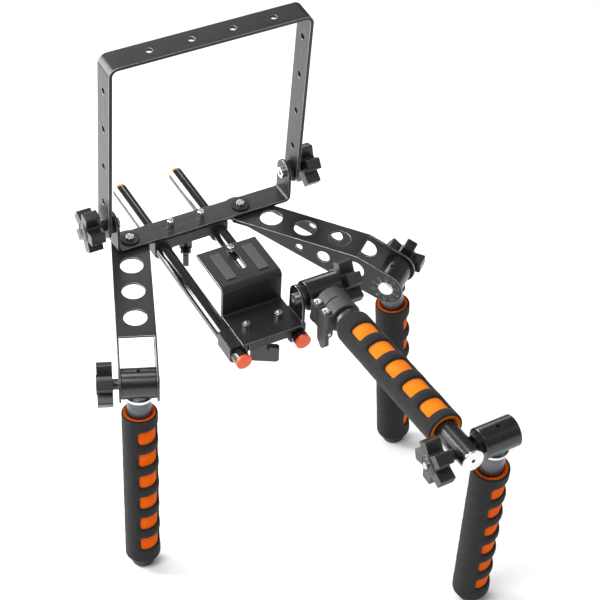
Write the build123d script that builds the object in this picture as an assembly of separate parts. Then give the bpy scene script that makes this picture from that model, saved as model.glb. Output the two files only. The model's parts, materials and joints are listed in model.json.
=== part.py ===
"""Hand-held cinema camera rig: rod pair, camera plate, cage frame, two grip arms and a tail grip.

The rig is drawn with its rods level: X across the rig, Y along the rods away from the operator,
Z square to both.  The last step stands it on the three handle feet, which is its resting pose.
"""
import os
from math import acos, atan2, cos, degrees, hypot, radians, sin

from build123d import *

# ---- rods (15 mm rods on the standard 60 mm spacing) -------------------------------------
rod_radius = 7.5
rod_wall = 1.5
rod_spacing = 60.0
rod_total = 267.0
cap_thickness = 2.5
cap_plug = 12.0

# ---- fits --------------------------------------------------------------------------------
running_gap = 0.05
face_gap = 0.05

# ---- rod clamps --------------------------------------------------------------------------
barrel_wall = 2.5
barrel_flat = 1.7
web_inset = 8.0
clamp_web_bottom = 0.0
wing_screw_radius = 3.0

# ---- crossbar and cage frame ---------------------------------------------------------------
strip_width = 24.0
crossbar_y = 181.0
crossbar_left = -76.0
crossbar_right = 106.6
crossbar_thickness = 3.0
crossbar_bottom = 11.4
ear_axis_z = 40.0
bridge_length = 26.0
stud_radius = 3.175
stud_x = 16.0
stud_height = 8.0
shank_radius = 2.9
shank_relief = 0.4
stud_chamfer = 0.6
frame_thickness = 3.5
frame_washer = 5.0
frame_height = 191.5
frame_corner = 9.0
frame_lean = 3.44
frame_hole_radius = 3.2
frame_side_holes = (30.5, 73.8, 117.1, 160.4)
frame_top_pitch = 40.4
frame_top_centre = 19.4
frame_bolt_radius = 3.0
washer_radius = 9.0

# ---- arms ----------------------------------------------------------------------------------
arm_to_clamp = 1.7
arm_bolt_radius = 4.0
arm_washer = 1.0
arm_reach = 158.9
arm_drop = 28.2
arm_half_width = 18.0
arm_sheet = 2.0
arm_open_end = 30.9
arm_end_radius = 17.0
arm_hole_radius = 10.75
arm_hole_first = 32.7
arm_hole_pitch = 35.3
arm_hole_margin = 24.0
web_holes = ((89.4, 9.3, 3.3), (64.4, 12.4, 6.3), (32.6, 16.8, 9.7))
arm_left_angle = 22.07
arm_right_angle = 38.97

# ---- hubs, knobs and grips -------------------------------------------------------------------
hub_radius = 14.0
hub_bolt_radius = 4.0
bolt_head_radius = 7.15
knob_radius = 20.0
knob_thickness = 14.0
knob_neck_radius = 5.0
knob_lobes = 5
frame_knob_turns = {"left": 46.0, "right": 0.0}
arm_knob_turns = {"left": 55.0, "right": 59.0}
tail_knob_turn = 60.0
tube_radius = 11.0
tube_wall = 1.5
socket_depth = 6.0
grip_start = 31.7
grip_length = 173.0
grip_core_wall = 3.0
grip_sleeve_wall = 2.4
grip_lip = 3.0
window_count = 6
window_pitch = 25.4
window_height = 16.0
window_first = 21.0
window_cut_share = 0.55
foot_radius = 10.5
foot_dome = 24.0
foot_tip = 214.0
swing_left = 7.25
swing_right = 4.96
swing_end = 7.5

# ---- camera plate ------------------------------------------------------------------------------
plate_sheet = 3.0
platform_top = 44.8
platform_left = -27.5
platform_right = 32.6
platform_near = 49.5
platform_far = 103.0
lower_top = 13.0
lower_near = 8.0
lip_half = 21.0
lip_drop = 9.5
plate_clamp_near = 12.0
plate_clamp_length = 24.0
slot_x = 3.3
slot_near = 68.5
slot_far = 98.0
slot_gap = 0.15
camera_screw_rise = 6.0
pad_size = (10.0, 36.0, 1.0)
pad_x = (-13.0, 19.7)
pad_y = 78.0
plate_screw_places = ((-14.5, 27.8), (18.0, 27.7))
plate_head_radius = 3.8
plate_head_height = 6.0
plate_lever_turn = -30.0
bridge_lever_turn = -115.0

# ---- tail ----------------------------------------------------------------------------------------
tail_pivot_y = 24.5
tail_pivot_z = 31.5
tail_ear_inner = 34.0
tail_hub_near = 42.0
tail_hub_length = 34.0
tail_rise = 4.83
tail_tube_radius = 10.2
tail_tube_wall = 1.25
tail_inner_length = 150.0
tail_end = 255.0
tail_grip_length = 158.0
tail_window_count = 5
tail_window_pitch = 28.1
tail_window_height = 17.2
tail_window_first = 18.6
tail_window_facing = 90.0
collar_gap = 2.0
collar_length = 30.0
collar_wall = 4.8
ring_gap = 3.5
ring_length = 5.0
end_hub_place = 240.0
end_hub_start = 14.2
end_hub_length = 34.0
end_roll = 1.97

# ---- sizes that follow from the ones above --------------------------------------------------------
rod_bore_radius = rod_radius - rod_wall
barrel_radius = rod_radius + barrel_wall
clamp_half_width = rod_spacing / 2 + barrel_radius - barrel_flat
clamp_web_half = rod_spacing / 2 - web_inset
arm_pivot_x = clamp_half_width + arm_to_clamp + arm_half_width
arm_top_end = arm_reach - arm_open_end
arm_hole_count = 1 + int((arm_top_end - arm_hole_margin - arm_hole_first) / arm_hole_pitch)
grip_core_radius = tube_radius + grip_core_wall
grip_radius = grip_core_radius + grip_sleeve_wall
window_cut = window_cut_share * grip_radius
collar_near = hub_radius + collar_gap
collar_radius = tail_tube_radius + collar_wall
ring_start = collar_near + collar_length + ring_gap
tail_grip_start = ring_start + ring_length + 0.5
tail_grip_end = tail_grip_start + tail_grip_length


def cyl(radius, length):
    """Cylinder standing on its base."""
    return Cylinder(radius, length, align=(Align.CENTER, Align.CENTER, Align.MIN))


def tube(outer, inner, start, end):
    """Tube along local Z between two heights."""
    return Pos(0, 0, start) * (cyl(outer, end - start) - cyl(inner, end - start))


def rod(radius, start, end):
    """Solid bar along local Z between two heights."""
    return Pos(0, 0, start) * cyl(radius, end - start)


def block(x0, x1, y0, y1, z0, z1):
    """Box from its corner coordinates."""
    middle = ((x0 + x1) / 2, (y0 + y1) / 2, (z0 + z1) / 2)
    return Pos(*middle) * Box(x1 - x0, y1 - y0, z1 - z0)


def along(origin, z_dir, x_dir):
    """Place local Z along one direction with local X near another."""
    return Plane(origin=origin, x_dir=x_dir, z_dir=z_dir).location


def tangent_point(point, centre, radius, side):
    """Point where a line from a point touches a circle, on the chosen side."""
    dx = point[0] - centre[0]
    dz = point[1] - centre[1]
    reach = hypot(dx, dz)
    turn = atan2(dz, dx) + side * acos(radius / reach)
    return (centre[0] + radius * cos(turn), centre[1] + radius * sin(turn))


# ---- small repeated pieces ---------------------------------------------------------------------

def star_knob(neck, bolt_radius, bore_depth):
    """Five-lobed clamping knob standing on its neck."""
    lobe = Pos(knob_radius - 7.5, 0, neck) * Box(
        15, 11, knob_thickness, align=(Align.CENTER, Align.CENTER, Align.MIN))
    lobe = fillet(lobe.edges().filter_by(Axis.Z), 1.6)
    body = rod(knob_neck_radius, 0, neck + 1) + rod(11.0, neck, neck + knob_thickness)
    for index in range(knob_lobes):
        body += Rot(0, 0, 360 / knob_lobes * index) * lobe
    return body - rod(bolt_radius + running_gap, -1, bore_depth)


def socket_head(radius, height):
    """Round screw head with a hexagon socket, its face at the top."""
    socket = extrude(RegularPolygon(radius * 0.55, 6), height * 0.6)
    return cyl(radius, height) - Pos(0, 0, height * 0.4) * socket


def wing_lever(screw_length):
    """Clamping lever hanging below its screw: a boss with one flat paddle."""
    boss = rod(6.5, -16, -1)
    paddle = block(-10, 16.5, -2.75, 2.75, -29.5, -12)
    paddle = fillet(paddle.edges().filter_by(Axis.Y), 3.5)
    disc = Pos(0, -5, -16.5) * Rot(-90, 0, 0) * cyl(7.0, 10.0)
    return boss + paddle + disc + rod(wing_screw_radius, -1.5, screw_length)


def rod_clamp(near, length, top):
    """Block that carries both rods: two barrels joined by a web."""
    half = rod_spacing / 2
    body = block(-clamp_web_half, clamp_web_half, near, near + length, clamp_web_bottom, top)
    for side in (-1, 1):
        barrel = along((side * half, near, 0), (0, 1, 0), (1, 0, 0)) * cyl(barrel_radius, length)
        body += barrel
        inner = min(side * clamp_web_half, side * clamp_half_width)
        outer = max(side * clamp_web_half, side * clamp_half_width)
        body += block(inner, outer, near, near + length, 0, top)
    body &= block(-clamp_half_width, clamp_half_width, near, near + length, -30, top)
    for side in (-1, 1):
        place = along((side * half, near - 1, 0), (0, 1, 0), (1, 0, 0))
        body -= place * cyl(rod_radius + running_gap, length + 2)
    screw = Pos(0, near + length / 2, clamp_web_bottom - 1)
    return body - screw * cyl(wing_screw_radius + running_gap, top - clamp_web_bottom)


# ---- rods ---------------------------------------------------------------------------------------
parts = {}
rod_places = [
    along((side * rod_spacing / 2, 0, 0), (0, 1, 0), (1, 0, 0)) for side in (-1, 1)]
parts["rods"] = [
    place * tube(rod_radius, rod_bore_radius, cap_thickness, rod_total - cap_thickness)
    for place in rod_places]
near_cap = rod(rod_radius, 0, cap_thickness) + rod(
    rod_bore_radius, cap_thickness, cap_thickness + cap_plug)
far_cap = rod(rod_radius, rod_total - cap_thickness, rod_total) + rod(
    rod_bore_radius, rod_total - cap_thickness - cap_plug, rod_total - cap_thickness)
parts["rod_caps_near"] = [place * near_cap for place in rod_places]
parts["rod_caps_far"] = [place * far_cap for place in rod_places]

# ---- bridge: clamp, crossbar, studs -------------------------------------------------------------
bridge_near = crossbar_y - bridge_length / 2
stud_seat = 4.0
clamp = rod_clamp(bridge_near, bridge_length, crossbar_bottom)
for side in (-1, 1):
    clamp -= Pos(side * stud_x, crossbar_y, stud_seat) * cyl(shank_radius, crossbar_bottom)
parts["bridge_clamp"] = [clamp]

crossbar_top = crossbar_bottom + crossbar_thickness
ear_top = ear_axis_z + strip_width / 2
half_strip = strip_width / 2
outline = block(
    crossbar_left, crossbar_right, crossbar_y - half_strip, crossbar_y + half_strip,
    crossbar_bottom, ear_top)
outline = fillet(outline.edges().filter_by(Axis.Y).group_by(Axis.Z)[0], 6.0)
hollow = block(
    crossbar_left + crossbar_thickness, crossbar_right - crossbar_thickness,
    crossbar_y - half_strip, crossbar_y + half_strip, crossbar_top, ear_top + 20)
hollow = fillet(hollow.edges().filter_by(Axis.Y).group_by(Axis.Z)[0], 3.0)
crossbar = outline - hollow
round_ends = block(
    crossbar_left, crossbar_right, crossbar_y - half_strip, crossbar_y + half_strip,
    crossbar_bottom, ear_axis_z)
across = along((crossbar_left, crossbar_y, ear_axis_z), (1, 0, 0), (0, 1, 0))
round_ends += across * cyl(half_strip, crossbar_right - crossbar_left)
crossbar &= round_ends
crossbar -= across * cyl(frame_bolt_radius, crossbar_right - crossbar_left)
for side in (-1, 1):
    crossbar -= Pos(side * stud_x, crossbar_y, 0) * cyl(shank_radius, 30)
    crossbar -= Pos(side * arm_pivot_x, crossbar_y, 0) * cyl(arm_bolt_radius, 30)
parts["crossbar"] = [crossbar]
stud_shoulder = crossbar_top + shank_relief
stud = rod(stud_radius, stud_shoulder, crossbar_top + stud_height)
stud = chamfer(stud.edges().group_by(Axis.Z)[-1], stud_chamfer)
stud += rod(shank_radius, stud_seat, stud_shoulder)
parts["crossbar_studs"] = [Pos(side * stud_x, crossbar_y, 0) * stud for side in (-1, 1)]

# ---- arm pivots ------------------------------------------------------------------------------------
arm_top = crossbar_bottom - arm_washer
nut_top = arm_top - arm_sheet - face_gap
bolt_cap = 1.5
nut_height = 6.0
pivot_bolt = rod(arm_bolt_radius, nut_top - nut_height - 1, crossbar_top + bolt_cap + 2)
nut = Pos(0, 0, nut_top - nut_height) * extrude(RegularPolygon(7.5, 6), nut_height)
pivot_bolt += nut
thrust_washer = tube(washer_radius, arm_bolt_radius, arm_top, crossbar_bottom)
top_washer = tube(washer_radius, arm_bolt_radius, crossbar_top, crossbar_top + bolt_cap)
arm_pivots = [Pos(side * arm_pivot_x, crossbar_y, 0) for side in (-1, 1)]
parts["arm_pivot_bolts"] = [place * pivot_bolt for place in arm_pivots]
parts["arm_pivot_washers"] = [
    place * washer for place in arm_pivots for washer in (thrust_washer, top_washer)]

# ---- cage frame and its pivots ------------------------------------------------------------------------
frame_left_inner = crossbar_left - frame_washer
frame_right_inner = crossbar_right + frame_washer
frame_left = frame_left_inner - frame_thickness
frame_right = frame_right_inner + frame_thickness
loop = block(frame_left, frame_right, -half_strip, half_strip, -half_strip, frame_height)
loop = fillet(loop.edges().filter_by(Axis.Y).group_by(Axis.Z)[-1], frame_corner)
inside = block(
    frame_left_inner, frame_right_inner, -half_strip, half_strip,
    -half_strip - 10, frame_height - frame_thickness)
inside = fillet(
    inside.edges().filter_by(Axis.Y).group_by(Axis.Z)[-1], frame_corner - frame_thickness)
frame = loop - inside
frame_across = along((frame_left, 0, 0), (1, 0, 0), (0, 1, 0))
frame_span = frame_right - frame_left
frame &= block(
    frame_left, frame_right, -half_strip, half_strip, 0, frame_height
) + frame_across * cyl(half_strip, frame_span)
frame -= frame_across * cyl(frame_bolt_radius + running_gap, frame_span)
for height in frame_side_holes:
    frame -= Pos(0, 0, height) * frame_across * cyl(frame_hole_radius, frame_span)
for index in range(4):
    hole_x = frame_top_centre + (index - 1.5) * frame_top_pitch
    frame -= Pos(hole_x, 0, frame_height - 10) * cyl(frame_hole_radius, 20)
frame_place = Pos(0, crossbar_y, ear_axis_z) * Rot(frame_lean, 0, 0)
parts["cage_frame"] = [frame_place * frame]

knob_seat = 2 * face_gap
frame_neck = 6.0
frame_bolt_reach = frame_neck + 10.0
frame_ends = []
for side, ear_face, outer_face in (
        (-1, crossbar_left, frame_left), (1, crossbar_right, frame_right)):
    inner_face = ear_face - side * crossbar_thickness
    place = along((inner_face, crossbar_y, ear_axis_z), (side, 0, 0), (0, 1, 0))
    shank = abs(outer_face - inner_face) + frame_bolt_reach
    bolt = rod(frame_bolt_radius, 0, shank) + Rot(180, 0, 0) * socket_head(5.5, 3.5)
    frame_ends.append((place, bolt, abs(outer_face - inner_face) + knob_seat))
parts["frame_pivot_bolts"] = [place * bolt for place, bolt, seat in frame_ends]
parts["frame_pivot_washers"] = [
    place * tube(washer_radius, frame_bolt_radius, crossbar_thickness,
                 crossbar_thickness + frame_washer - face_gap)
    for place, bolt, seat in frame_ends]
for name, (place, bolt, seat) in zip(("left", "right"), frame_ends):
    knob = star_knob(frame_neck, frame_bolt_radius, frame_bolt_reach + 1)
    turned = Rot(0, 0, frame_knob_turns[name])
    parts[f"frame_knob_{name}"] = [place * Pos(0, 0, seat) * turned * knob]
parts["bridge_wing_lever"] = [
    Pos(0, crossbar_y, clamp_web_bottom) * Rot(0, 0, bridge_lever_turn) * wing_lever(
        crossbar_bottom - 3)]


# ---- arms ----------------------------------------------------------------------------------------------

def arm_channel(knob_side):
    """Inverted sheet channel in its own frame: X out along the arm, Z up, pivot at the origin."""
    centre = (arm_reach, -arm_drop)
    root_depth = 4.0
    low_start = (16.0, -root_depth)
    upper = tangent_point((arm_top_end, 0), centre, arm_end_radius, -1)
    lower = tangent_point(low_start, centre, arm_end_radius, 1)
    outline = [(0, 0), (arm_top_end, 0), upper, centre, lower, low_start, (0, -root_depth)]
    side_view = Plane.XZ * (
        Polygon(*outline, align=None) + Pos(*centre) * Circle(arm_end_radius))
    web = extrude(side_view, arm_half_width, both=True)
    web -= block(-5, arm_reach + 40, -arm_half_width + arm_sheet, arm_half_width - arm_sheet, -99, 9)
    top = block(0, arm_top_end, -arm_half_width, arm_half_width, -arm_sheet, 0)
    top += Pos(0, 0, -arm_sheet) * cyl(arm_half_width, arm_sheet)
    body = web + top
    for index in range(arm_hole_count):
        place = arm_hole_first + index * arm_hole_pitch
        body -= Pos(place, 0, -5) * cyl(arm_hole_radius, 10)
    crosswise = along((0, -30, 0), (0, 1, 0), (1, 0, 0))
    for from_hub, below_top, radius in web_holes:
        body -= Pos(arm_reach - from_hub, 0, -below_top) * crosswise * cyl(radius, 60)
    slit = block(8.8, 13.4, -0.65, 0.65, 0, 60)
    hub_axis = Pos(arm_reach, 0, -arm_drop) * crosswise
    for index in range(10):
        body -= hub_axis * Rot(0, 0, 36 * index + 18) * slit
    body -= hub_axis * cyl(hub_bolt_radius + running_gap, 60)
    head_web = Pos(0, -knob_side * (arm_half_width - arm_sheet / 2), 0)
    head_hole = head_web * Pos(arm_reach, -arm_sheet, -arm_drop) * along(
        (0, 0, 0), (0, 1, 0), (1, 0, 0)) * cyl(bolt_head_radius, 2 * arm_sheet)
    body -= head_hole
    body -= Pos(0, 0, -5) * cyl(arm_bolt_radius + running_gap, 10)
    return body


def grip_sleeve(start, end, count, pitch, first, window, core_radius):
    """Soft outer sleeve around local Z with a column of windows facing +X."""
    outer = rod(grip_radius, start, end)
    outer = fillet(outer.edges().group_by(Axis.Z)[-1], 4.0)
    outer = fillet(outer.edges().group_by(Axis.Z)[0], 1.5)
    body = outer - rod(grip_core_radius, start - 1, end - grip_lip) - rod(
        core_radius, start - 1, end + 1)
    for index in range(count):
        height = start + first + index * pitch
        opening = block(
            window_cut, grip_radius + 5, -grip_radius, grip_radius,
            height - window / 2, height + window / 2)
        body -= fillet(opening.edges().filter_by(Axis.X), 3.0)
    return body


def grip_core(start, end, core_radius):
    """Coloured inner sleeve."""
    return tube(grip_core_radius, core_radius, start, end - grip_lip)


def handle(start, turn):
    """Handle around local Z, measured from the hub axis: tube, core, sleeve, foot."""
    extra = start - grip_start
    end = start + grip_length
    tube_end = end + 1.3
    seat = hub_radius - socket_depth
    inner = tube_radius - tube_wall
    shaft = tube(tube_radius, inner, seat, tube_end)
    core = grip_core(start, end, tube_radius)
    sleeve = Rot(0, 0, turn) * grip_sleeve(
        start, end, window_count, window_pitch, window_first, window_height, tube_radius)
    tip = foot_tip + extra
    dome = Pos(0, 0, tip - foot_dome) * Sphere(foot_dome)
    foot = (rod(foot_radius, tube_end, tip) & dome) + rod(inner, tube_end - 15, tube_end)
    return {"tube": shaft, "core": core, "sleeve": sleeve, "foot": foot}


def swing_hub(start, length, bore, bore_length, socket_radius):
    """Hub cylinder along local Z with a tube socket facing local +X and a set-screw hole behind."""
    body = Pos(0, 0, start) * chamfer(cyl(hub_radius, length).edges(), 0.6)
    body -= rod(bore, start - 1, start + bore_length)
    socket = along((0, 0, start + length / 2), (1, 0, 0), (0, 0, 1))
    body -= socket * rod(socket_radius, hub_radius - socket_depth, hub_radius + 5)
    return body - socket * Rot(180, 0, 0) * rod(1.6, hub_radius - 5, hub_radius + 5)


hub_clear = 0.05
hub_length = 2 * (arm_half_width - arm_sheet - hub_clear)
neck_arm = 5.0
feet = {}
frames = {}
window_turns = {"left": -71.0, "right": -24.0}
for name, side, angle, swing, knob_side in (
        ("left", -1, arm_left_angle, swing_left, -1), ("right", 1, arm_right_angle, swing_right, 1)):
    heading = radians(-90 + side * angle)
    arm_dir = Vector(cos(heading), sin(heading), 0)
    lateral = Vector(-sin(heading), cos(heading), 0)
    place = along((side * arm_pivot_x, crossbar_y, arm_top), (0, 0, 1), arm_dir)
    parts[f"{name}_arm_channel"] = [place * arm_channel(knob_side)]
    hub_centre = Vector(side * arm_pivot_x, crossbar_y, arm_top) + arm_dir * arm_reach - Vector(
        0, 0, arm_drop)
    down = arm_dir * sin(radians(swing)) - Vector(0, 0, 1) * cos(radians(swing))
    axis_place = along(hub_centre, lateral * knob_side, down)
    head_end = arm_half_width
    bolt = rod(hub_bolt_radius, -arm_half_width, arm_half_width + neck_arm + 10)
    bolt += Pos(0, 0, -head_end) * cyl(bolt_head_radius, arm_sheet)
    bolt += Pos(0, 0, -head_end - 0.8) * cyl(bolt_head_radius - 1, 1)
    parts[f"{name}_hub_bolt"] = [axis_place * bolt]
    parts[f"{name}_hub"] = [axis_place * swing_hub(
        -hub_length / 2, hub_length, hub_bolt_radius + running_gap, hub_length + 1, tube_radius)]
    handle_place = along(hub_centre, down, lateral)
    world_face = Vector(cos(radians(window_turns[name])), sin(radians(window_turns[name])), 0)
    local_x = lateral
    local_y = down.cross(lateral)
    face_turn = degrees(atan2(world_face.dot(local_y), world_face.dot(local_x)))
    pieces = handle(grip_start, face_turn)
    parts[f"{name}_handle_tube"] = [handle_place * pieces["tube"]]
    parts[f"{name}_grip_core"] = [handle_place * pieces["core"]]
    parts[f"{name}_grip_sleeve"] = [handle_place * pieces["sleeve"]]
    parts[f"{name}_foot"] = [handle_place * pieces["foot"]]
    knob = star_knob(neck_arm, hub_bolt_radius, neck_arm + 11)
    turned = Rot(0, 0, arm_knob_turns[name])
    parts[f"{name}_knob"] = [axis_place * Pos(0, 0, arm_half_width + knob_seat) * turned * knob]
    feet[name] = hub_centre + down * (foot_tip - foot_dome)
    frames[name] = (hub_centre, lateral, arm_dir, down)


# ---- camera plate ----------------------------------------------------------------------------------------

def round_corner(sketch, point, radius):
    """Round the one corner of a flat outline that lies at a point."""
    corner = min(sketch.vertices(), key=lambda v: hypot(v.X - point[0], v.Y - point[1]))
    return fillet(corner, radius)


platform_bottom = platform_top - plate_sheet
lower_bottom = lower_top - plate_sheet
step_far = platform_near + plate_sheet
side_view = Polygon(
    (lower_near, lower_bottom), (lower_near, lower_top), (platform_near, lower_top),
    (platform_near, platform_top), (platform_far, platform_top),
    (platform_far, platform_bottom), (step_far, platform_bottom), (step_far, lower_bottom),
    align=None)
side_view = round_corner(side_view, (platform_near, lower_top), 2.0)
side_view = round_corner(side_view, (platform_near, platform_top), 5.0)
side_view = round_corner(side_view, (step_far, platform_bottom), 2.0)
side_view = round_corner(side_view, (step_far, lower_bottom), 5.0)
bracket = extrude(
    Plane.YZ * side_view, platform_right - platform_left, dir=(1, 0, 0))
bracket = Pos(platform_left, 0, 0) * bracket
bracket += block(
    -lip_half, lip_half, lower_near, lower_near + plate_sheet, lower_top - lip_drop, lower_top)
ear_half = 12.5
ear_outer = tail_ear_inner + plate_sheet
ear_near = tail_pivot_y - ear_half
ear_far = tail_pivot_y + ear_half
bracket += block(
    platform_right - 1, ear_outer, ear_near, ear_far, lower_bottom, lower_top)
ear = block(tail_ear_inner, ear_outer, ear_near, ear_far, lower_bottom, tail_pivot_z)
tail_axis = along((tail_ear_inner, tail_pivot_y, tail_pivot_z), (1, 0, 0), (0, 1, 0))
ear += tail_axis * cyl(ear_half, plate_sheet)
bracket += ear
bracket -= tail_axis * rod(frame_bolt_radius, -1, plate_sheet + 1)
slot_half = stud_radius + slot_gap
slot_cut = block(
    slot_x - slot_half, slot_x + slot_half, slot_near + slot_half, slot_far - slot_half,
    platform_bottom - 1, platform_top + 1)
for slot_end in (slot_near + slot_half, slot_far - slot_half):
    slot_cut += Pos(slot_x, slot_end, platform_bottom - 1) * cyl(slot_half, plate_sheet + 2)
bracket -= slot_cut
plate_screw_radius = 2.5
for x, y in plate_screw_places:
    bracket -= Pos(x, y, lower_bottom - 1) * cyl(plate_screw_radius, plate_sheet + 2)
parts["plate_bracket"] = [bracket]

plate_clamp = rod_clamp(plate_clamp_near, plate_clamp_length, lower_bottom)
screw_seat = 2.0
for x, y in plate_screw_places:
    plate_clamp -= Pos(x, y, screw_seat) * cyl(plate_screw_radius, lower_bottom)
parts["plate_clamp"] = [plate_clamp]
plate_screw = cyl(plate_screw_radius, lower_top - screw_seat) + Pos(
    0, 0, lower_top - screw_seat) * socket_head(plate_head_radius, plate_head_height)
parts["plate_screws"] = [Pos(x, y, screw_seat) * plate_screw for x, y in plate_screw_places]
parts["plate_pads"] = [
    Pos(x, pad_y, platform_top + pad_size[2] / 2) * Box(*pad_size) for x in pad_x]
screw_y = slot_far - slot_half - slot_gap
screw_shoulder = platform_top + shank_relief
camera_screw = rod(stud_radius, screw_shoulder, platform_top + camera_screw_rise)
camera_screw = chamfer(camera_screw.edges().group_by(Axis.Z)[-1], stud_chamfer)
camera_screw += rod(shank_radius, platform_bottom - 6, screw_shoulder)
parts["camera_screw"] = [Pos(slot_x, screw_y, 0) * camera_screw]
screw_knob = tube(7.5, shank_radius, platform_bottom - 4, platform_bottom - face_gap)
screw_knob = chamfer(screw_knob.edges().group_by(Axis.Z)[0], 0.4)
parts["camera_screw_knob"] = [Pos(slot_x, screw_y, 0) * screw_knob]
plate_middle = plate_clamp_near + plate_clamp_length / 2
parts["plate_wing_lever"] = [
    Pos(0, plate_middle, clamp_web_bottom) * Rot(0, 0, plate_lever_turn) * wing_lever(
        lower_bottom - 2)]

# ---- tail pivot ------------------------------------------------------------------------------------------
tail_hub_start = tail_hub_near - tail_ear_inner
tail_hub_end = tail_hub_start + tail_hub_length
tail_neck = 3.0
tail_bolt = rod(frame_bolt_radius, 0, tail_hub_end + tail_neck + 11) + Rot(
    180, 0, 0) * socket_head(5.5, 3.5)
parts["tail_pivot_bolt"] = [tail_axis * tail_bolt]
washer_split = (plate_sheet + tail_hub_start) / 2
parts["tail_pivot_washers"] = [
    tail_axis * tube(12.0, frame_bolt_radius, plate_sheet, washer_split),
    tail_axis * tube(10.5, frame_bolt_radius, washer_split, tail_hub_start - face_gap)]
parts["tail_knob"] = [
    tail_axis * Pos(0, 0, tail_hub_end + knob_seat) * Rot(0, 0, tail_knob_turn) * star_knob(
        tail_neck, frame_bolt_radius, tail_neck + 12)]

rise = radians(tail_rise)
tail_dir = Vector(0, -cos(rise), sin(rise))
tail_up = Vector(0, sin(rise), cos(rise))
tail_origin = Vector(
    tail_hub_near + tail_hub_length / 2, tail_pivot_y, tail_pivot_z)
tail_place = along(tail_origin, tail_dir, (1, 0, 0))
hub_place = along(tail_origin, (1, 0, 0), tail_dir)
inner_outer = tail_tube_radius - tail_tube_wall - running_gap
parts["tail_hub"] = [hub_place * swing_hub(
    -tail_hub_length / 2, tail_hub_length, frame_bolt_radius + running_gap,
    tail_hub_length + 1, inner_outer)]
parts["tail_inner_tube"] = [tail_place * tube(
    inner_outer, inner_outer - 1.4, hub_radius - socket_depth, tail_inner_length)]

# ---- flip lock -------------------------------------------------------------------------------------------
collar_far = collar_near + collar_length
ear_left = -20.3
ear_top_y = 7.5
ear_low_y = -9.0
band = rod(collar_radius, collar_near, collar_far)
band = chamfer(band.edges(), 0.8)
lock_ear = block(ear_left, -6, ear_low_y, ear_top_y, collar_near, collar_far)
lock_ear = fillet(lock_ear.edges().filter_by(Axis.Y).group_by(Axis.X)[0], 3.0)
lug_x = -16.5
lug_y = -12.5
lug_half = 3.5
lug_width = 4.0
collar = band + lock_ear
for start in (collar_near, collar_far - lug_width):
    collar += block(lug_x - lug_half, lug_x + lug_half, lug_y, ear_low_y + 1, start,
                    start + lug_width)
    collar += Pos(lug_x, lug_y, start) * cyl(lug_half, lug_width)
collar_middle = (collar_near + collar_far) / 2
collar -= block(ear_left - 1, 0, -7.5, ear_top_y + 20, collar_middle - 0.6, collar_middle + 0.6)
collar -= rod(tail_tube_radius, collar_near - 1, collar_far + 1)
lock_pin_radius = 1.5
collar -= Pos(lug_x, lug_y, collar_near) * cyl(lock_pin_radius, collar_length)
bolt_places = (collar_near + 7.5, collar_far - 7.5)
lock_bolt_radius = 2.2
lock_bolt_x = -15.6
lock_head_radius = 3.6
for place in bolt_places:
    bolt_hole = along((lock_bolt_x, ear_low_y, place), (0, 1, 0), (1, 0, 0))
    collar -= bolt_hole * rod(lock_bolt_radius, -1, 40)
    collar -= bolt_hole * rod(lock_head_radius + 0.3, ear_top_y - ear_low_y, 40)
lock_bolt = rod(lock_bolt_radius, 0, ear_top_y - ear_low_y)
lock_bolt += Pos(0, 0, ear_top_y - ear_low_y) * socket_head(lock_head_radius, 2.2)
parts["lock_collar"] = [tail_place * collar]
parts["lock_bolts"] = [
    tail_place * along((lock_bolt_x, ear_low_y, place), (0, 1, 0), (1, 0, 0)) * lock_bolt
    for place in bolt_places]
parts["lock_pin"] = [
    tail_place * Pos(lug_x, lug_y, collar_near) * cyl(lock_pin_radius, collar_length)]
lever_start = collar_near + lug_width + face_gap
lever_end = collar_far - lug_width - face_gap
lever = Pos(lug_x, lug_y, lever_start) * cyl(3.0, lever_end - lever_start)
blade_start = tail_pivot_y + 2.5
blade = block(lug_x - 2.0, lug_x + 2.0, lug_y - 22, lug_y, blade_start, lever_end)
blade = chamfer(blade.edges().filter_by(Axis.X).group_by(Axis.Y)[0], 6.0)
lever += blade
lever -= Pos(lug_x, lug_y, lever_start - 1) * cyl(
    lock_pin_radius + running_gap, lever_end - lever_start + 2)
parts["lock_lever"] = [tail_place * lever]

# ---- tail tube and grip ------------------------------------------------------------------------------------
end_disc_thickness = 2.0
tail_body = tube(
    tail_tube_radius, tail_tube_radius - tail_tube_wall, collar_near, tail_end - end_disc_thickness)
roll = radians(end_roll)
end_axis = Vector(cos(roll), sin(roll), 0)
end_hole = along(Vector(0, 0, end_hub_place) - end_axis * 20, end_axis, (0, 0, 1))
tail_body -= end_hole * cyl(frame_bolt_radius + running_gap, 40)
parts["tail_tube"] = [tail_place * tail_body]
parts["tail_ring"] = [tail_place * tube(
    13.5, tail_tube_radius, ring_start, ring_start + ring_length)]
tail_sleeve = grip_sleeve(
    0, tail_grip_length, tail_window_count, tail_window_pitch, tail_window_first,
    tail_window_height, tail_tube_radius)
reversed_grip = tail_place * Rot(0, 0, tail_window_facing) * Pos(0, 0, tail_grip_end) * Rot(
    180, 0, 0)
parts["tail_grip_core"] = [reversed_grip * grip_core(0, tail_grip_length, tail_tube_radius)]
parts["tail_grip_sleeve"] = [reversed_grip * tail_sleeve]
end_disc = rod(tail_tube_radius, tail_end - end_disc_thickness, tail_end)
end_disc = chamfer(end_disc.edges().group_by(Axis.Z)[-1], 0.5)
end_disc += rod(
    tail_tube_radius - tail_tube_wall, tail_end - 6, tail_end - end_disc_thickness)
end_disc -= rod(1.7, tail_end - 10, tail_end + 1)
parts["tail_end_disc"] = [tail_place * end_disc]

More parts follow.
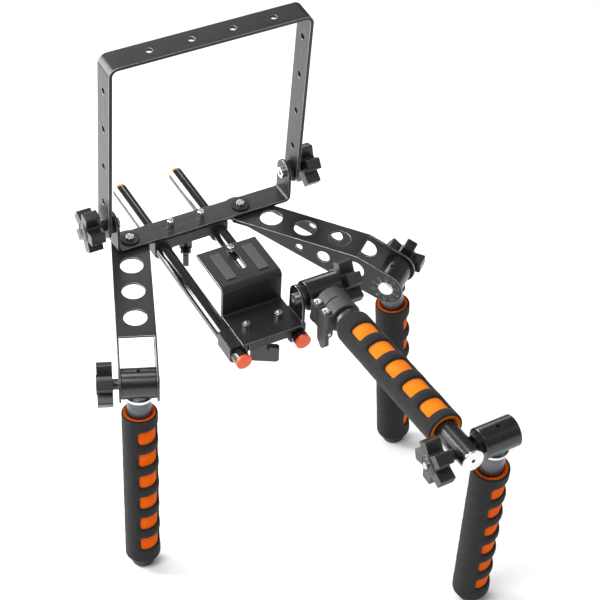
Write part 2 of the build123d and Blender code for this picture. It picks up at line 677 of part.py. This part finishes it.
# ---- end handle --------------------------------------------------------------------------------------------
end_point = tail_origin + tail_dir * end_hub_place
end_lateral = Vector(1, 0, 0) * cos(roll) + tail_up * sin(roll)
end_base = Vector(1, 0, 0) * sin(roll) - tail_up * cos(roll)
end_swing = radians(swing_end)
end_down = end_base * cos(end_swing) - tail_dir * sin(end_swing)
end_place = along(end_point, end_lateral, end_down)
end_knob_face = tail_tube_radius + knob_seat
end_neck = 9.7
end_bolt_end = end_knob_face + end_neck + knob_thickness + 3
end_bore = 26.0
parts["end_pivot_bolt"] = [end_place * rod(
    frame_bolt_radius, -end_bolt_end, end_hub_start + end_bore)]
parts["end_washer"] = [end_place * tube(
    washer_radius, frame_bolt_radius, tail_tube_radius + face_gap, end_hub_start)]
parts["end_hub"] = [end_place * swing_hub(
    end_hub_start, end_hub_length, frame_bolt_radius, end_bore, tube_radius)]
end_knob = star_knob(end_neck, frame_bolt_radius, end_neck + knob_thickness + 2)
parts["end_knob"] = [end_place * Rot(180, 0, 0) * Pos(0, 0, end_knob_face) * end_knob]
end_hub_centre = end_point + end_lateral * (end_hub_start + end_hub_length / 2)
end_handle_place = along(end_hub_centre, end_down, end_lateral)
end_extra = 6.0
end_face = Vector(cos(radians(-61)), sin(radians(-61)), 0)
end_turn = degrees(atan2(end_face.dot(end_down.cross(end_lateral)), end_face.dot(end_lateral)))
pieces = handle(grip_start + end_extra, end_turn)
parts["end_handle_tube"] = [end_handle_place * pieces["tube"]]
parts["end_grip_core"] = [end_handle_place * pieces["core"]]
parts["end_grip_sleeve"] = [end_handle_place * pieces["sleeve"]]
parts["end_foot"] = [end_handle_place * pieces["foot"]]
feet["end"] = end_hub_centre + end_down * (foot_tip + end_extra - foot_dome)

# ---- stand the rig on its three feet --------------------------------------------------------------------------
normal = (feet["right"] - feet["left"]).cross(feet["left"] - feet["end"]).normalized()
if normal.Z < 0:
    normal = normal * -1
level_x = (Vector(1, 0, 0) - normal * normal.X).normalized()
stand = Plane(origin=(0, 0, 0), x_dir=level_x, z_dir=normal).location.inverse()
standing = {
    name: [solid for shape in shapes for solid in (stand * shape).solids()]
    for name, shapes in parts.items()}
everything = Compound([solid for solids in standing.values() for solid in solids])
extent = everything.bounding_box()
floor = (stand * Pos(*feet["left"])).position.Z - foot_dome
centre_shift = Pos(
    -(extent.min.X + extent.max.X) / 2, -(extent.min.Y + extent.max.Y) / 2, -floor)
to_stand = centre_shift * stand

os.makedirs("parts", exist_ok=True)
for name, solids in standing.items():
    placed = [centre_shift * solid for solid in solids]
    export_step(Compound(placed), f"parts/{name}.step")
    print(name, len(placed), "solids", round(sum(solid.volume for solid in placed)), "mm3")
print("size", extent.size)
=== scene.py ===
import bpy
import bmesh
import json
import math
import numpy as np
from mathutils import Matrix, Vector


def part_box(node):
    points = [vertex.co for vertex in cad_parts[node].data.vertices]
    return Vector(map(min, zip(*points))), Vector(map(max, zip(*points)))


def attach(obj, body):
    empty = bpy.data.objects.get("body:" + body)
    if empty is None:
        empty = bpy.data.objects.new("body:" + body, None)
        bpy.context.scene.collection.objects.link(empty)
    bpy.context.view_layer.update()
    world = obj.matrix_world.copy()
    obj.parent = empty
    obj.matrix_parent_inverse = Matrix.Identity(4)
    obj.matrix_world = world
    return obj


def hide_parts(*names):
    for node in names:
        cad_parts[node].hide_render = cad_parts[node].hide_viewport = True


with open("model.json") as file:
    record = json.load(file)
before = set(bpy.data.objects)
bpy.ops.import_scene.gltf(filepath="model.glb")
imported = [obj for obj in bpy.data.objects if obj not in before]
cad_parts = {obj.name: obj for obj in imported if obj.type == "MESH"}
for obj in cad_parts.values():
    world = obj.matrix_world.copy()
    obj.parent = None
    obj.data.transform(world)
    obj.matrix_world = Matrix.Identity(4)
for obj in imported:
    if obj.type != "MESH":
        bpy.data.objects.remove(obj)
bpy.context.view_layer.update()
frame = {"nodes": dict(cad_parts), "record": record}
nodes = frame["nodes"]
scene = bpy.context.scene
print("frame loaded", len(nodes), "nodes")

# light, floor and camera
studio = {
    "floorColor": (0.88, 0.88, 0.88),
    "floorReach": 14.0,
    "worldColor": (1.0, 1.0, 1.0),
    "worldStrength": 0.20,
    "aim": (0.0, 0.0, 0.25),
}
lamps = {
    "keyLight": {"place": (-0.9, -0.7, 1.7), "size": (1.2, 0.9), "power": 29.0},
    "fillLight": {"place": (1.5, -1.0, 1.0), "size": (1.2, 1.2), "power": 9.0},
    "backLight": {"place": (0.2, 1.5, 1.4), "size": (1.6, 0.6), "power": 16.0},
    "topLight": {"place": (-0.1, 0.2, 2.0), "size": (0.7, 0.7), "power": 10.0},
    # a tall soft light behind on the left, which draws the streak along the rods
    "stripLight": {"place": (-1.13, 1.25, 1.0), "size": (0.65, 1.5), "power": 44.0},
}
view = {
    "lensMm": 112.67,
    "sensorMm": 36.0,
    "clip": (0.05, 60.0),
    "place": (-0.595907, -1.319932, 1.095976),
    "right": (0.87598151, -0.4714168, -0.10209115),
    "up": (0.31638495, 0.40180368, 0.85933368),
}


def middle(node):
    low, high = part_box(node)
    return (low + high) / 2


def aimedLight(name, lamp):
    light = bpy.data.lights.new(name, "AREA")
    light.energy = lamp["power"]
    light.shape = "RECTANGLE"
    light.size, light.size_y = lamp["size"]
    holder = bpy.data.objects.new(name, light)
    scene.collection.objects.link(holder)
    holder.location = lamp["place"]
    holder.rotation_mode = "QUATERNION"
    towards = Vector(studio["aim"]) - Vector(lamp["place"])
    holder.rotation_quaternion = towards.to_track_quat("-Z", "Y")


world = bpy.data.worlds.new("studio")
scene.world = world
world.use_nodes = True
worldShade = world.node_tree.nodes["Background"]
worldShade.inputs["Color"].default_value = (*studio["worldColor"], 1)
worldShade.inputs["Strength"].default_value = studio["worldStrength"]

for name, lamp in lamps.items():
    aimedLight(name, lamp)
scene.view_settings.view_transform = "Standard"

camera = bpy.data.objects.new("camera", bpy.data.cameras.new("camera"))
scene.collection.objects.link(camera)
camera.data.lens = view["lensMm"]
camera.data.sensor_width = view["sensorMm"]
camera.data.clip_start, camera.data.clip_end = view["clip"]
lookRight, lookUp = Vector(view["right"]), Vector(view["up"])
turn = Matrix((lookRight, lookUp, lookRight.cross(lookUp))).transposed().to_4x4()
camera.matrix_world = Matrix.Translation(Vector(view["place"])) @ turn
scene.camera = camera

floorMesh = bpy.data.meshes.new("floor")
reach = studio["floorReach"]
floorMesh.from_pydata(
    [(-reach, -reach, 0), (reach, -reach, 0), (reach, reach, 0), (-reach, reach, 0)], [], [(0, 1, 2, 3)])
floor = bpy.data.objects.new("floor", floorMesh)
scene.collection.objects.link(floor)
print("studio ready")


# material helpers
def newMaterial(name):
    material = bpy.data.materials.new(name)
    material.use_nodes = True
    tree = material.node_tree
    tree.nodes.clear()
    out = tree.nodes.new("ShaderNodeOutputMaterial")
    shader = tree.nodes.new("ShaderNodeBsdfPrincipled")
    tree.links.new(shader.outputs["BSDF"], out.inputs["Surface"])
    return material, tree, shader


def noise(tree, scale, detail=4.0, rough=0.55, stretch=None):
    coordinate = tree.nodes.new("ShaderNodeTexCoord")
    texture = tree.nodes.new("ShaderNodeTexNoise")
    texture.inputs["Scale"].default_value = scale
    texture.inputs["Detail"].default_value = detail
    texture.inputs["Roughness"].default_value = rough
    source = coordinate.outputs["Object"]
    if stretch:
        mapping = tree.nodes.new("ShaderNodeMapping")
        mapping.inputs["Scale"].default_value = stretch
        tree.links.new(source, mapping.inputs["Vector"])
        source = mapping.outputs["Vector"]
    tree.links.new(source, texture.inputs["Vector"])
    return texture.outputs["Fac"]


def ramp(tree, source, low, high, start=0.35, end=0.65):
    mapper = tree.nodes.new("ShaderNodeMapRange")
    mapper.inputs["From Min"].default_value = start
    mapper.inputs["From Max"].default_value = end
    mapper.inputs["To Min"].default_value = low
    mapper.inputs["To Max"].default_value = high
    tree.links.new(source, mapper.inputs["Value"])
    return mapper.outputs["Result"]


def colorMix(tree, factor, first, second):
    mix = tree.nodes.new("ShaderNodeMix")
    mix.data_type = "RGBA"
    mix.inputs["A"].default_value = (*first, 1)
    mix.inputs["B"].default_value = (*second, 1)
    tree.links.new(factor, mix.inputs["Factor"])
    return mix.outputs["Result"]


def addBump(tree, shader, height, strength, distance):
    bump = tree.nodes.new("ShaderNodeBump")
    bump.inputs["Strength"].default_value = strength
    bump.inputs["Distance"].default_value = distance
    tree.links.new(height, bump.inputs["Height"])
    tree.links.new(bump.outputs["Normal"], shader.inputs["Normal"])


# procedural finish from one dictionary of plain values
def finishOf(name, look):
    material, tree, shader = newMaterial(name)
    shader.inputs["Metallic"].default_value = look.get("metallic", 0.0)
    shader.inputs["Specular IOR Level"].default_value = look.get("specular", 0.5)
    shader.inputs["Coat Weight"].default_value = look.get("coat", 0.0)
    shader.inputs["Coat Roughness"].default_value = look.get("coatRoughness", 0.2)
    shader.inputs["Sheen Weight"].default_value = look.get("sheen", 0.0)
    cloud = noise(tree, look.get("cloudScale", 60), 3)
    tree.links.new(
        colorMix(tree, ramp(tree, cloud, 0, 1), look["color"], look["colorTwo"]),
        shader.inputs["Base Color"])
    grain = noise(tree, look.get("grainScale", 2500), 2, 0.6, look.get("stretch"))
    tree.links.new(
        ramp(tree, grain, look["rough"][0], look["rough"][1]), shader.inputs["Roughness"])
    addBump(tree, shader, grain, look.get("bump", 0.15), look.get("bumpDepth", 0.0001))
    return material


looks = {
    "blackAlloy": {"color": (0.009, 0.009, 0.010), "colorTwo": (0.014, 0.014, 0.015), "metallic": 0.1,
                   "rough": (0.30, 0.44), "grainScale": 1500, "bump": 0.3},
    # painted edge highlight: a bright metal for the thin bevel faces, standing in for light caught along
    # the black edges
    "paintedEdgeHighlight": {"color": (0.50, 0.50, 0.51), "colorTwo": (0.34, 0.34, 0.35), "metallic": 0.9,
                  "rough": (0.25, 0.4), "grainScale": 900, "bump": 0.1},
    "hubAlloy": {"color": (0.006, 0.006, 0.007), "colorTwo": (0.009, 0.009, 0.010), "metallic": 0.0,
                 "specular": 0.7, "rough": (0.20, 0.30), "grainScale": 1600, "bump": 0.12},
    "glossRod": {"color": (0.006, 0.006, 0.007), "colorTwo": (0.010, 0.010, 0.011), "metallic": 0.0,
                 "specular": 0.9, "rough": (0.10, 0.17), "grainScale": 1200, "bump": 0.05},
    "greyAlloy": {"color": (0.09, 0.10, 0.12), "colorTwo": (0.12, 0.13, 0.15), "metallic": 0.8,
                  "rough": (0.25, 0.4), "grainScale": 900, "bump": 0.08},
    "brightSteel": {"color": (0.80, 0.80, 0.79), "colorTwo": (0.70, 0.70, 0.70), "metallic": 1.0,
                    "rough": (0.14, 0.26), "grainScale": 700, "bump": 0.08},
    "darkSteel": {"color": (0.02, 0.02, 0.022), "colorTwo": (0.035, 0.035, 0.037), "metallic": 0.8,
                  "rough": (0.3, 0.45), "grainScale": 1200, "bump": 0.1},
    "blackPlastic": {"color": (0.007, 0.007, 0.008), "colorTwo": (0.012, 0.012, 0.013),
                     "specular": 0.65, "rough": (0.26, 0.38), "grainScale": 2200, "bump": 0.25},
    "greyPlastic": {"color": (0.028, 0.029, 0.031), "colorTwo": (0.040, 0.041, 0.044),
                    "rough": (0.42, 0.55), "grainScale": 2000, "bump": 0.35},
    "blackFoam": {"color": (0.007, 0.007, 0.008), "colorTwo": (0.016, 0.016, 0.017), "specular": 0.28,
                  "rough": (0.72, 0.95), "cloudScale": 900, "grainScale": 1300, "bump": 0.75,
                  "bumpDepth": 0.0005, "sheen": 0.04},
    "orangeFoam": {"color": (0.66, 0.088, 0.001), "colorTwo": (0.74, 0.112, 0.002), "specular": 0.05,
                   "rough": (0.6, 0.75), "grainScale": 1300, "bump": 0.3, "bumpDepth": 0.0002},
    "paleOrangeFoam": {"color": (0.68, 0.16, 0.008), "colorTwo": (0.76, 0.20, 0.012),
                       "specular": 0.05, "rough": (0.6, 0.75), "grainScale": 1300, "bump": 0.3,
                       "bumpDepth": 0.0002},
    "padRubber": {"color": (0.050, 0.050, 0.051), "colorTwo": (0.085, 0.085, 0.086), "specular": 0.6,
                  "cloudScale": 1400, "rough": (0.45, 0.6), "grainScale": 1500, "bump": 0.3},
    "capRed": {"color": (0.72, 0.085, 0.018), "colorTwo": (0.78, 0.11, 0.025), "metallic": 0.25,
               "rough": (0.25, 0.38), "grainScale": 900, "bump": 0.06, "coat": 0.2},
    "capGold": {"color": (0.62, 0.22, 0.02), "colorTwo": (0.7, 0.28, 0.03), "metallic": 0.3,
                "rough": (0.25, 0.38), "grainScale": 900, "bump": 0.06, "coat": 0.3},
}
finish = {name: finishOf(name, look) for name, look in looks.items()}

floorMaterial, tree, shader = newMaterial("floorPaint")
shader.inputs["Base Color"].default_value = (*studio["floorColor"], 1)
shader.inputs["Roughness"].default_value = 0.9
floor.data.materials.append(floorMaterial)


# CAD node: new finish, welded and with its edges broken; an edge finish, when given, goes on the bevel
# faces as a painted highlight
def dress(name, material, edge=None, width=0.35, segments=2):
    node = nodes[name]
    node.data.materials.clear()
    node.data.materials.append(finish[material])
    if edge:
        node.data.materials.append(finish[edge])
    weld = node.modifiers.new("weld", "WELD")
    weld.merge_threshold = 0.00001
    bevel = node.modifiers.new("edgeBreak", "BEVEL")
    bevel.width = width / 1000
    bevel.segments = segments
    bevel.limit_method = "ANGLE"
    bevel.angle_limit = math.radians(35)
    bevel.harden_normals = False
    # the bevel faces take the edge finish, a painted highlight along every broken edge
    if edge:
        bevel.material = 1
    even = node.modifiers.new("flatFaces", "WEIGHTED_NORMAL")
    even.keep_sharp = True
    for polygon in node.data.polygons:
        polygon.use_smooth = True
    node.data.set_sharp_from_angle(angle=math.radians(35))


groups = {
    # black alloy parts whose bevel faces carry the painted edge highlight
    ("blackAlloy", "paintedEdgeHighlight", 0.28): (
        "bridge_clamp", "crossbar", "cage_frame", "left_arm_channel", "right_arm_channel",
        "plate_bracket", "plate_clamp"),
    ("hubAlloy", None, 0.3): ("left_hub", "right_hub", "tail_hub", "end_hub", "tail_tube"),
    ("glossRod", None, 0.2): ("rods",),
    ("greyAlloy", None, 0.2): (
        "left_handle_tube", "right_handle_tube", "end_handle_tube", "tail_inner_tube"),
    ("brightSteel", None, 0.15): (
        "crossbar_studs", "plate_screws", "camera_screw", "lock_bolts", "lock_pin",
        "tail_end_disc", "left_hub_bolt", "right_hub_bolt", "end_pivot_bolt",
        "tail_pivot_bolt", "frame_pivot_bolts", "arm_pivot_bolts"),
    ("darkSteel", None, 0.15): (
        "arm_pivot_washers", "frame_pivot_washers", "tail_pivot_washers", "end_washer",
        "camera_screw_knob"),
    ("blackPlastic", None, 0.6): (
        "bridge_wing_lever", "plate_wing_lever", "frame_knob_left", "frame_knob_right",
        "left_knob", "right_knob", "tail_knob", "end_knob", "tail_ring", "left_foot",
        "right_foot", "end_foot"),
    ("greyPlastic", None, 0.5): ("lock_collar", "lock_lever"),
    ("capRed", None, 0.9): ("rod_caps_near",),
    ("capGold", None, 0.9): ("rod_caps_far",),
}
for (material, edge, width), names in groups.items():
    for name in names:
        dress(name, material, edge, width)
print("CAD nodes dressed")


# places read from the record
record = frame["record"]
joints = {joint["name"]: joint for joint in record["behaviour"]["joints"]}
acrossDir = Vector(joints["cage_tilt"]["axis"])  # across the rods
alongDir = Vector(joints["bridge_slide"]["axis"])  # along the rods, away from the operator
upDir = Vector(joints["bridge_lever_turn"]["axis"])
screwPlace = Vector(next(m["pos_m"] for m in record["mounts"] if m["name"] == "camera_screw"))


# matrix with local Z along a direction and local X near another
def axisFrame(origin, along, facing):
    zAxis = Vector(along).normalized()
    xAxis = (Vector(facing) - zAxis * zAxis.dot(Vector(facing))).normalized()
    turned = Matrix((xAxis, zAxis.cross(xAxis), zAxis)).transposed().to_4x4()
    return Matrix.Translation(origin) @ turned


def nodePoints(name):
    node = nodes[name]
    flat = np.zeros(len(node.data.vertices) * 3)
    node.data.vertices.foreach_get("co", flat)
    return flat.reshape(-1, 3)


# lowest and highest distance of a node along an axis
def reachAlong(name, origin, direction):
    spans = (nodePoints(name) - np.array(origin)) @ np.array(direction)
    return spans.min(), spans.max()


def solidCentre(name):
    node = nodes[name]
    mesh = node.data
    mesh.calc_loop_triangles()
    points = nodePoints(name)
    corners = np.zeros(len(mesh.loop_triangles) * 3, np.int32)
    mesh.loop_triangles.foreach_get("vertices", corners)
    a, b, c = (points[corners.reshape(-1, 3)[:, k]] for k in range(3))
    weight = np.einsum("ij,ij->i", a, np.cross(b, c))
    return ((a + b + c) * weight[:, None]).sum(0) / 4 / weight.sum()


# mesh helpers
def addPiece(name, points, faces, material, body, smoothAngle=40):
    mesh = bpy.data.meshes.new(name)
    mesh.from_pydata([tuple(point) for point in points], [], faces)
    shape = bmesh.new()
    shape.from_mesh(mesh)
    bmesh.ops.recalc_face_normals(shape, faces=shape.faces)
    shape.to_mesh(mesh)
    shape.free()
    for polygon in mesh.polygons:
        polygon.use_smooth = True
    mesh.set_sharp_from_angle(angle=math.radians(smoothAngle))
    mesh.materials.append(finish[material])
    piece = bpy.data.objects.new(name, mesh)
    scene.collection.objects.link(piece)
    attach(piece, body)
    return piece


# faces of a grid that closes both ways, as on a hollow sleeve
def ringFaces(rows, columns):
    faces = []
    for row in range(rows):
        under = (row + 1) % rows
        for column in range(columns):
            beside = (column + 1) % columns
            faces.append((row * columns + column, row * columns + beside,
                          under * columns + beside, under * columns + column))
    return faces


def placed(place, local):
    matrix = np.array(place)
    return np.asarray(local) @ matrix[:3, :3].T + matrix[:3, 3]


# closed ring turned from a profile of radius and height in millimetres
def lathe(name, place, profile, material, body, steps=64):
    turns = np.arange(steps) * 2 * math.pi / steps
    local = [
        (radius * math.cos(turn) / 1000, radius * math.sin(turn) / 1000, height / 1000)
        for radius, height in profile for turn in turns]
    return addPiece(
        name, placed(place, local), ringFaces(len(profile), steps), material, body, 30)


# how far a rounded end falls back, at a distance from the end
def rounded(distance, radius):
    left = np.clip(radius - distance, 0, radius)
    return radius - np.sqrt(radius ** 2 - left ** 2)


def smoothStep(value):
    value = np.clip(value, 0, 1)
    return value * value * (3 - 2 * value)


# foam grips
foam = {
    "columns": 132, "rowStep": 0.55, "radius": 16.4, "coreRadius": 13.9, "innerRadius": 12.9,
    "dipRadius": 13.2, "windowHalfTurn": 0.92, "corner": 4.2, "wallWidth": 1.3, "shoulder": 2.6,
    "shoulderDrop": 0.55, "bandSwell": 0.3, "openRadius": 15.1, "openDepth": 3.0,
    "openRound": 1.3, "closedRound": 5.5, "pillow": 0.4, "pillowStart": 0.6, "pillowWidth": 5.0,
    "waver": 0.05, "bandStart": 0.5, "bandWidth": 5.0, "bandReach": 1.6, "endFade": 8.0,
    "ringWidth": 1.2, "ringHeight": 2.2, "closedWall": 4.3,
}
handle = {"shaft": 11.05, "first": 21.0, "pitch": 25.4, "count": 6, "half": 8.1, "openEnd": False,
          "core": "orangeFoam"}
grips = {
    name: {"body": f"{name}_grip", "hub": f"{name}_hub", "tube": f"{name}_handle_tube", **handle}
    for name in ("left", "right", "end")}
grips["tail"] = {"body": "tail", "hub": "tail_hub", "tube": "tail_tube", "shaft": 10.25, "first": 27.0,
                 "pitch": 28.1, "count": 5, "half": 8.9, "openEnd": True, "core": "paleOrangeFoam"}


# distance outside the nearest window's rounded outline, in millimetres
def windowDistance(turn, height, grip):
    arc = np.abs(turn) * foam["radius"] - foam["windowHalfTurn"] * foam["radius"]
    index = np.clip(np.round((height - grip["first"]) / grip["pitch"]), 0, grip["count"] - 1)
    rise = np.abs(height - grip["first"] - index * grip["pitch"]) - grip["half"]
    arc = arc + foam["corner"]
    rise = rise + foam["corner"]
    outside = np.hypot(np.maximum(arc, 0), np.maximum(rise, 0))
    return outside + np.minimum(np.maximum(arc, rise), 0) - foam["corner"]


# matrix at the start of a grip, Z along it and X towards its windows, and the length in millimetres
def gripPlace(sleeveNode, grip):
    hubMiddle, tubeMiddle = middle(grip["hub"]), middle(grip["tube"])
    axis = Vector(tubeMiddle - hubMiddle).normalized()
    low, high = reachAlong(sleeveNode, hubMiddle, axis)
    start = Vector(hubMiddle) + axis * low
    offset = Vector(solidCentre(sleeveNode)) - start
    facing = -(offset - axis * offset.dot(axis))
    return axisFrame(start, axis, facing), (high - low) * 1000


# one closed row of a ring, as radius and height for each turn
def rim(turns, rimRadius, rimHeight):
    return np.stack((np.full(len(turns), rimRadius), np.full(len(turns), rimHeight)), -1)[None]


# rows counted from the other end, for a grip whose open end is the far one
def flipped(rows, length):
    return [row * (1, -1) + (0, length) for row in rows]


# outer surface of the sleeve: rounded ends, raised bands and the sunk windows
def sleeveSurface(turns, length, grip):
    turn, height = np.meshgrid(turns, np.linspace(0, length, int(length / foam["rowStep"])))
    away = windowDistance(turn, height, grip)
    fromOpen = length - height if grip["openEnd"] else height
    fromClosed = length - fromOpen
    radius = foam["radius"] - rounded(fromOpen, foam["openRound"])
    radius = radius - rounded(fromClosed, foam["closedRound"])
    facingShare = smoothStep(foam["bandReach"] - np.abs(turn))
    bands = smoothStep((away - foam["bandStart"]) / foam["bandWidth"]) * facingShare
    radius = radius + foam["bandSwell"] * bands * smoothStep(fromClosed / foam["endFade"])
    shoulder = np.clip(1 - away / foam["shoulder"], 0, 1) ** 2 * foam["shoulderDrop"]
    radius = radius - shoulder
    waver = np.sin(height * 0.17 + 2 * turn) + np.sin(height * 0.41 - 3 * turn + 1.3)
    radius = radius + foam["waver"] * waver * smoothStep(away / 3)
    dip = smoothStep(-away / foam["wallWidth"])
    radius = radius + (foam["dipRadius"] - radius) * dip
    return np.stack((np.maximum(radius, foam["dipRadius"] - 2.0), height), -1)


# the sleeve's surface closed through its bore
def sleeveRows(turns, length, grip):
    shaft, inner = grip["shaft"], foam["innerRadius"]
    openRows = [rim(turns, foam["openRadius"], 0), rim(turns, foam["openRadius"] - 0.2, 1.0),
                rim(turns, inner, foam["openDepth"])]
    closedRows = [rim(turns, inner, length - 4.0), rim(turns, shaft, length - 3.6),
                  rim(turns, shaft, length - 0.4), rim(turns, shaft + 0.5, length)]
    if grip["openEnd"]:
        bore = flipped(openRows + closedRows, length)
    else:
        bore = closedRows[::-1] + openRows[::-1]
    return np.concatenate([sleeveSurface(turns, length, grip), *bore])


# the core under the sleeve: a pillow in each window and a lip at the open end
def coreRows(turns, length, grip):
    shaft, edge, wall = grip["shaft"], foam["openRadius"], foam["closedWall"]
    ends = (wall, length - foam["ringHeight"]) if grip["openEnd"] else (
        foam["ringHeight"], length - wall)
    turn, height = np.meshgrid(turns, np.linspace(*ends, int(length / foam["rowStep"])))
    inside = windowDistance(turn, height, grip)
    pillow = foam["pillow"] * smoothStep((-inside - foam["pillowStart"]) / foam["pillowWidth"])
    radius = foam["coreRadius"] + pillow
    fromRing = length - height if grip["openEnd"] else height
    ring = smoothStep(1 - (fromRing - foam["ringHeight"]) / foam["ringWidth"])
    radius = radius + (edge - 0.1 - radius) * ring
    core = np.stack((radius, height), -1)
    lip = [rim(turns, edge - 0.1, 0.9), rim(turns, edge - 0.5, 0.25), rim(turns, edge - 1.2, 0.05),
           rim(turns, shaft + 1.2, 0.6), rim(turns, shaft + 0.4, 1.3), rim(turns, shaft, 2.4)]
    if grip["openEnd"]:
        return np.concatenate([core, *flipped(lip, length), rim(turns, shaft, wall)])
    return np.concatenate([core, rim(turns, shaft, length - wall), *lip[::-1]])


def foamGrip(name, grip):
    sleeveNode, coreNode = f"{name}_grip_sleeve", f"{name}_grip_core"
    place, length = gripPlace(sleeveNode, grip)
    turns = np.linspace(-math.pi, math.pi, foam["columns"], endpoint=False)
    around = turns[None, :]
    for title, rows, material, slot, node, fill in (
            ("Sleeve", sleeveRows, "blackFoam", "black_foam", sleeveNode, 0.95),
            ("Core", coreRows, grip["core"], "orange_foam", coreNode, 1.0)):
        grid = rows(turns, length, grip)
        local = np.stack((grid[..., 0] * np.cos(around), grid[..., 0] * np.sin(around),
                          grid[..., 1]), -1) / 1000
        piece = addPiece(
            name + title, placed(place, local.reshape(-1, 3)),
            ringFaces(local.shape[0], local.shape[1]), material, grip["body"], 60)
        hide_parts(node)


for name, grip in grips.items():
    foamGrip(name, grip)
print("foam grips made")

# ribbed pads on the camera plate
pad = {
    "width": 10.0, "length": 36.0, "height": 1.0, "corner": 1.6, "edgeRound": 0.4, "rib": 1.5,
    "ribDepth": 0.55, "ribSlant": 0.35, "border": 0.5, "borderFade": 0.4, "underGap": 0.02,
    "columns": 14, "rows": 200,
}


def ribbedPad(name, across):
    spans = nodePoints("plate_pads") - np.array(screwPlace)
    topReach = (spans @ np.array(upDir)).max() * 1000
    side = spans[(spans @ np.array(acrossDir)) * across > 0]
    centreAcross = (side @ np.array(acrossDir)).mean() * 1000
    centreAlong = ((side @ np.array(alongDir)).min() + (side @ np.array(alongDir)).max()) * 500
    rows = np.linspace(-0.5, 0.5, pad["rows"]) * pad["length"]
    columns = np.linspace(-1, 1, pad["columns"])
    halfWidth = pad["width"] / 2 - rounded(pad["length"] / 2 - np.abs(rows), pad["corner"])
    xs = columns[None, :] * halfWidth[:, None]
    ys = np.repeat(rows[:, None], pad["columns"], 1)
    edge = np.minimum(pad["length"] / 2 - np.abs(ys), halfWidth[:, None] - np.abs(xs))
    ribs = 0.5 - 0.5 * np.cos((ys + xs * pad["ribSlant"]) * 2 * math.pi / pad["rib"])
    ribbed = smoothStep((edge - pad["border"]) / pad["borderFade"])
    tops = topReach - rounded(np.maximum(edge, 0), pad["edgeRound"]) - pad["ribDepth"] * ribs * ribbed
    bottoms = np.full_like(tops, topReach - pad["height"] + pad["underGap"])
    points = []
    for heights in (tops, bottoms):
        for x, y, z in zip(xs.ravel(), ys.ravel(), heights.ravel()):
            points.append(screwPlace + (acrossDir * (centreAcross + x) + alongDir * (
                centreAlong + y) + upDir * z) / 1000)
    wide, deep, layer = pad["columns"], pad["rows"], pad["columns"] * pad["rows"]
    faces = []
    for row in range(deep - 1):
        for column in range(wide - 1):
            corner = row * wide + column
            quad = (corner, corner + 1, corner + wide + 1, corner + wide)
            faces.append(quad)
            faces.append(tuple(point + layer for point in reversed(quad)))
    border = list(range(wide))
    border += [row * wide + wide - 1 for row in range(1, deep)]
    border += [(deep - 1) * wide + column for column in range(wide - 2, -1, -1)]
    border += [row * wide for row in range(deep - 2, 0, -1)]
    for place, corner in enumerate(border):
        nextCorner = border[(place + 1) % len(border)]
        faces.append((corner, nextCorner, nextCorner + layer, corner + layer))
    piece = addPiece(name, points, faces, "padRubber", "plate", 50)
    return piece


leftPad = ribbedPad("leftPad", -1)
rightPad = ribbedPad("rightPad", 1)
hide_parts("plate_pads")
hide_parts("plate_pads")
print("ribbed pads made")

# small turned pieces
knobFaces = {
    "cage_left_knob": ("frame_knob_left", "cage_left_knob_turn"),
    "cage_right_knob": ("frame_knob_right", "cage_right_knob_turn"),
    "left_grip_knob": ("left_knob", "left_grip_knob_turn"),
    "right_grip_knob": ("right_knob", "right_grip_knob_turn"),
    "tail_base_knob": ("tail_knob", "tail_knob_turn"),
    "end_grip_knob": ("end_knob", "end_knob_turn"),
}
discProfile = [(3.4, -0.2), (3.4, 0.55), (3.9, 0.8), (6.2, 0.8), (6.7, 0.3), (7.6, 0.3),
               (7.9, 0.75), (8.8, 0.75), (9.3, 0.35), (9.3, -0.2)]
plugProfile = [(0.2, -0.2), (0.2, 0.45), (2.6, 0.45), (3.0, 0.2), (3.0, -0.2)]
for body, (node, jointName) in knobFaces.items():
    joint = joints[jointName]
    origin, axis = Vector(joint["pos_m"]), Vector(joint["axis"])
    low, high = reachAlong(node, origin, axis)
    outward = axis if high > -low else -axis
    reach = max(high, -low)
    place = axisFrame(origin + outward * reach, outward, (0.2, 0.3, 1))
    lathe(body + "Disc", place, discProfile, "blackPlastic", body)
    if node != "end_knob":
        lathe(body + "Plug", place, plugProfile, "darkSteel", body, 32)

socketProfile = [(11.1, 12.6), (11.1, 15.2), (11.5, 15.5), (12.2, 15.5), (12.6, 15.1),
                 (12.6, 12.6)]
for name in ("left", "right", "end"):
    hubMiddle, tubeMiddle = middle(f"{name}_hub"), middle(f"{name}_handle_tube")
    place = axisFrame(hubMiddle, Vector(tubeMiddle - hubMiddle), acrossDir)
    lathe(f"{name}SocketRing", place, socketProfile, "brightSteel", f"{name}_grip")
print("small turned pieces made")
